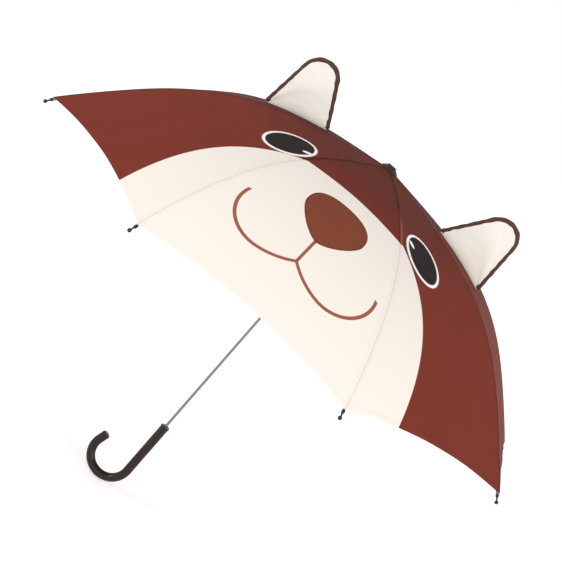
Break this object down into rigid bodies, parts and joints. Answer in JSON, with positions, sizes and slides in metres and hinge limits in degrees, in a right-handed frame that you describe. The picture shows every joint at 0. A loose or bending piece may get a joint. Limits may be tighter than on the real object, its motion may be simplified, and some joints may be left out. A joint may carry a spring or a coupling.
{
  "type": "children's umbrella",
  "caption": "Children's manual umbrella with a bear-face canopy, standing ears and crook handle; the runner slides to fold ribs, stretchers and canopy, held by spring catches.",
  "frame": {"origin": "on the shaft's axis, level with the crook's lowest point, under the middle of the open canopy", "axes": "+Z along the shaft towards the ferrule, the face looks towards -Y, the crook curls towards -X; rest pose is open"},
  "size_m": [0.751, 0.751, 0.6449],
  "materials": {
    "steel": "polished round tube and wires",
    "dark_steel": "dark spring steel",
    "black_plastic": "satin moulded",
    "grip_plastic": "high gloss, dark brown",
    "brown_fabric": "plain woven, printed brown",
    "cream_fabric": "plain woven, cream",
    "piping": "bound piping, dark brown"
  },
  "bodies": {
    "shaft": {"shaft_tube": "steel", "crook_handle": "grip_plastic", "crook_end_plug": "grip_plastic", "handle_collar": "grip_plastic", "stop_pin": "dark_steel", "top_notch": "black_plastic", "notch_wire": "steel", "crown_rosette": "piping", "ferrule_cap": "black_plastic"},
    "runner": {"runner": "black_plastic", "runner_wire": "steel"},
    "top_catch": {"top_catch": "dark_steel"},
    "bottom_catch": {"bottom_catch": "dark_steel"},
    "rib_1": {"rib_1": "steel", "rib_tip_1": "black_plastic", "joint_rivet_1": "dark_steel"},
    "stretcher_1": {"stretcher_1": "steel"},
    "rib_2": {"rib_2": "steel", "rib_tip_2": "black_plastic", "joint_rivet_2": "dark_steel"},
    "stretcher_2": {"stretcher_2": "steel"},
    "rib_3": {"rib_3": "steel", "rib_tip_3": "black_plastic", "joint_rivet_3": "dark_steel"},
    "stretcher_3": {"stretcher_3": "steel"},
    "rib_4": {"rib_4": "steel", "rib_tip_4": "black_plastic", "joint_rivet_4": "dark_steel"},
    "stretcher_4": {"stretcher_4": "steel"},
    "rib_5": {"rib_5": "steel", "rib_tip_5": "black_plastic", "joint_rivet_5": "dark_steel"},
    "stretcher_5": {"stretcher_5": "steel"},
    "rib_6": {"rib_6": "steel", "rib_tip_6": "black_plastic", "joint_rivet_6": "dark_steel"},
    "stretcher_6": {"stretcher_6": "steel"},
    "rib_7": {"rib_7": "steel", "rib_tip_7": "black_plastic", "joint_rivet_7": "dark_steel"},
    "stretcher_7": {"stretcher_7": "steel"},
    "rib_8": {"rib_8": "steel", "rib_tip_8": "black_plastic", "joint_rivet_8": "dark_steel"},
    "stretcher_8": {"stretcher_8": "steel"},
    "gore_1": {"canopy_gore_1": "brown_fabric", "tie_strap": "brown_fabric", "snap_stud": "dark_steel"},
    "gore_2": {"canopy_gore_2": "brown_fabric"},
    "gore_3": {"canopy_gore_3": "brown_fabric", "ear_panel_left": "cream_fabric", "ear_piping_left": "piping"},
    "gore_4": {"canopy_gore_4": "brown_fabric"},
    "gore_5": {"canopy_gore_5": "cream_fabric"},
    "gore_6": {"canopy_gore_6": "brown_fabric"},
    "gore_7": {"canopy_gore_7": "brown_fabric", "ear_panel_right": "cream_fabric", "ear_piping_right": "piping"},
    "gore_8": {"canopy_gore_8": "brown_fabric"}
  },
  "joints": [
    {"name": "runner_slide", "type": "slide", "parent": "shaft", "child": "runner", "axis": [0, 0, -1], "range_m": [0, 0.25505]},
    {"name": "rib_fold_1", "type": "hinge", "parent": "shaft", "child": "rib_1", "pos_m": [-0.00306, 0.00739, 0.578], "axis": [-0.9239, -0.3827, 0], "range_deg": [0, 62.05]},
    {"name": "stretcher_fold_1", "type": "hinge", "parent": "rib_1", "child": "stretcher_1", "pos_m": [-0.06471, 0.15624, 0.55024], "axis": [0.9239, 0.3827, 0], "range_deg": [0, 124.1]},
    {"name": "rib_fold_2", "type": "hinge", "parent": "shaft", "child": "rib_2", "pos_m": [-0.00739, 0.00306, 0.578], "axis": [-0.3827, -0.9239, 0], "range_deg": [0, 62.05]},
    {"name": "stretcher_fold_2", "type": "hinge", "parent": "rib_2", "child": "stretcher_2", "pos_m": [-0.15624, 0.06471, 0.55024], "axis": [0.3827, 0.9239, 0], "range_deg": [0, 124.1]},
    {"name": "rib_fold_3", "type": "hinge", "parent": "shaft", "child": "rib_3", "pos_m": [-0.00739, -0.00306, 0.578], "axis": [0.3827, -0.9239, 0], "range_deg": [0, 62.05]},
    {"name": "stretcher_fold_3", "type": "hinge", "parent": "rib_3", "child": "stretcher_3", "pos_m": [-0.15624, -0.06471, 0.55024], "axis": [-0.3827, 0.9239, 0], "range_deg": [0, 124.1]},
    {"name": "rib_fold_4", "type": "hinge", "parent": "shaft", "child": "rib_4", "pos_m": [-0.00306, -0.00739, 0.578], "axis": [0.9239, -0.3827, 0], "range_deg": [0, 62.05]},
    {"name": "stretcher_fold_4", "type": "hinge", "parent": "rib_4", "child": "stretcher_4", "pos_m": [-0.06471, -0.15624, 0.55024], "axis": [-0.9239, 0.3827, 0], "range_deg": [0, 124.1]},
    {"name": "rib_fold_5", "type": "hinge", "parent": "shaft", "child": "rib_5", "pos_m": [0.00306, -0.00739, 0.578], "axis": [0.9239, 0.3827, 0], "range_deg": [0, 62.05]},
    {"name": "stretcher_fold_5", "type": "hinge", "parent": "rib_5", "child": "stretcher_5", "pos_m": [0.06471, -0.15624, 0.55024], "axis": [-0.9239, -0.3827, 0], "range_deg": [0, 124.1]},
    {"name": "rib_fold_6", "type": "hinge", "parent": "shaft", "child": "rib_6", "pos_m": [0.00739, -0.00306, 0.578], "axis": [0.3827, 0.9239, 0], "range_deg": [0, 62.05]},
    {"name": "stretcher_fold_6", "type": "hinge", "parent": "rib_6", "child": "stretcher_6", "pos_m": [0.15624, -0.06471, 0.55024], "axis": [-0.3827, -0.9239, 0], "range_deg": [0, 124.1]},
    {"name": "rib_fold_7", "type": "hinge", "parent": "shaft", "child": "rib_7", "pos_m": [0.00739, 0.00306, 0.578], "axis": [-0.3827, 0.9239, 0], "range_deg": [0, 62.05]},
    {"name": "stretcher_fold_7", "type": "hinge", "parent": "rib_7", "child": "stretcher_7", "pos_m": [0.15624, 0.06471, 0.55024], "axis": [0.3827, -0.9239, 0], "range_deg": [0, 124.1]},
    {"name": "rib_fold_8", "type": "hinge", "parent": "shaft", "child": "rib_8", "pos_m": [0.00306, 0.00739, 0.578], "axis": [-0.9239, 0.3827, 0], "range_deg": [0, 62.05]},
    {"name": "stretcher_fold_8", "type": "hinge", "parent": "rib_8", "child": "stretcher_8", "pos_m": [0.06471, 0.15624, 0.55024], "axis": [0.9239, -0.3827, 0], "range_deg": [0, 124.1]},
    {"name": "gore_fold_1", "type": "hinge", "parent": "shaft", "child": "gore_1", "pos_m": [0, 0.00739, 0.578], "axis": [-1, 0, 0], "range_deg": [0, 60.05], "deforming": ["canopy_gore_1"]},
    {"name": "gore_fold_2", "type": "hinge", "parent": "shaft", "child": "gore_2", "pos_m": [-0.00523, 0.00523, 0.578], "axis": [-0.7071, -0.7071, 0], "range_deg": [0, 60.05], "deforming": ["canopy_gore_2"]},
    {"name": "gore_fold_3", "type": "hinge", "parent": "shaft", "child": "gore_3", "pos_m": [-0.00739, 0, 0.578], "axis": [0, -1, 0], "range_deg": [0, 60.05], "deforming": ["canopy_gore_3"]},
    {"name": "gore_fold_4", "type": "hinge", "parent": "shaft", "child": "gore_4", "pos_m": [-0.00523, -0.00523, 0.578], "axis": [0.7071, -0.7071, 0], "range_deg": [0, 60.05], "deforming": ["canopy_gore_4"]},
    {"name": "gore_fold_5", "type": "hinge", "parent": "shaft", "child": "gore_5", "pos_m": [0, -0.00739, 0.578], "axis": [1, 0, 0], "range_deg": [0, 60.05], "deforming": ["canopy_gore_5"]},
    {"name": "gore_fold_6", "type": "hinge", "parent": "shaft", "child": "gore_6", "pos_m": [0.00523, -0.00523, 0.578], "axis": [0.7071, 0.7071, 0], "range_deg": [0, 60.05], "deforming": ["canopy_gore_6"]},
    {"name": "gore_fold_7", "type": "hinge", "parent": "shaft", "child": "gore_7", "pos_m": [0.00739, 0, 0.578], "axis": [0, 1, 0], "range_deg": [0, 60.05], "deforming": ["canopy_gore_7"]},
    {"name": "gore_fold_8", "type": "hinge", "parent": "shaft", "child": "gore_8", "pos_m": [0.00523, 0.00523, 0.578], "axis": [-0.7071, 0.7071, 0], "range_deg": [0, 60.05], "deforming": ["canopy_gore_8"]},
    {"name": "top_catch_press", "type": "slide", "parent": "shaft", "child": "top_catch", "axis": [0, -1, 0], "range_m": [0, 0.0016], "stiffness_N_per_m": 300},
    {"name": "bottom_catch_press", "type": "slide", "parent": "shaft", "child": "bottom_catch", "axis": [0, -1, 0], "range_m": [0, 0.0016], "stiffness_N_per_m": 300}
  ],
  "couplings": [
    {"joint": "rib_fold_1", "follows": "runner_slide", "rad_per_m": 4.2427},
    {"joint": "stretcher_fold_1", "follows": "runner_slide", "rad_per_m": 8.4855},
    {"joint": "rib_fold_2", "follows": "runner_slide", "rad_per_m": 4.2427},
    {"joint": "stretcher_fold_2", "follows": "runner_slide", "rad_per_m": 8.4855},
    {"joint": "rib_fold_3", "follows": "runner_slide", "rad_per_m": 4.2427},
    {"joint": "stretcher_fold_3", "follows": "runner_slide", "rad_per_m": 8.4855},
    {"joint": "rib_fold_4", "follows": "runner_slide", "rad_per_m": 4.2427},
    {"joint": "stretcher_fold_4", "follows": "runner_slide", "rad_per_m": 8.4855},
    {"joint": "rib_fold_5", "follows": "runner_slide", "rad_per_m": 4.2427},
    {"joint": "stretcher_fold_5", "follows": "runner_slide", "rad_per_m": 8.4855},
    {"joint": "rib_fold_6", "follows": "runner_slide", "rad_per_m": 4.2427},
    {"joint": "stretcher_fold_6", "follows": "runner_slide", "rad_per_m": 8.4855},
    {"joint": "rib_fold_7", "follows": "runner_slide", "rad_per_m": 4.2427},
    {"joint": "stretcher_fold_7", "follows": "runner_slide", "rad_per_m": 8.4855},
    {"joint": "rib_fold_8", "follows": "runner_slide", "rad_per_m": 4.2427},
    {"joint": "stretcher_fold_8", "follows": "runner_slide", "rad_per_m": 8.4855},
    {"joint": "gore_fold_1", "follows": "runner_slide", "rad_per_m": 4.1059},
    {"joint": "gore_fold_2", "follows": "runner_slide", "rad_per_m": 4.1059},
    {"joint": "gore_fold_3", "follows": "runner_slide", "rad_per_m": 4.1059},
    {"joint": "gore_fold_4", "follows": "runner_slide", "rad_per_m": 4.1059},
    {"joint": "gore_fold_5", "follows": "runner_slide", "rad_per_m": 4.1059},
    {"joint": "gore_fold_6", "follows": "runner_slide", "rad_per_m": 4.1059},
    {"joint": "gore_fold_7", "follows": "runner_slide", "rad_per_m": 4.1059},
    {"joint": "gore_fold_8", "follows": "runner_slide", "rad_per_m": 4.1059}
  ]
}
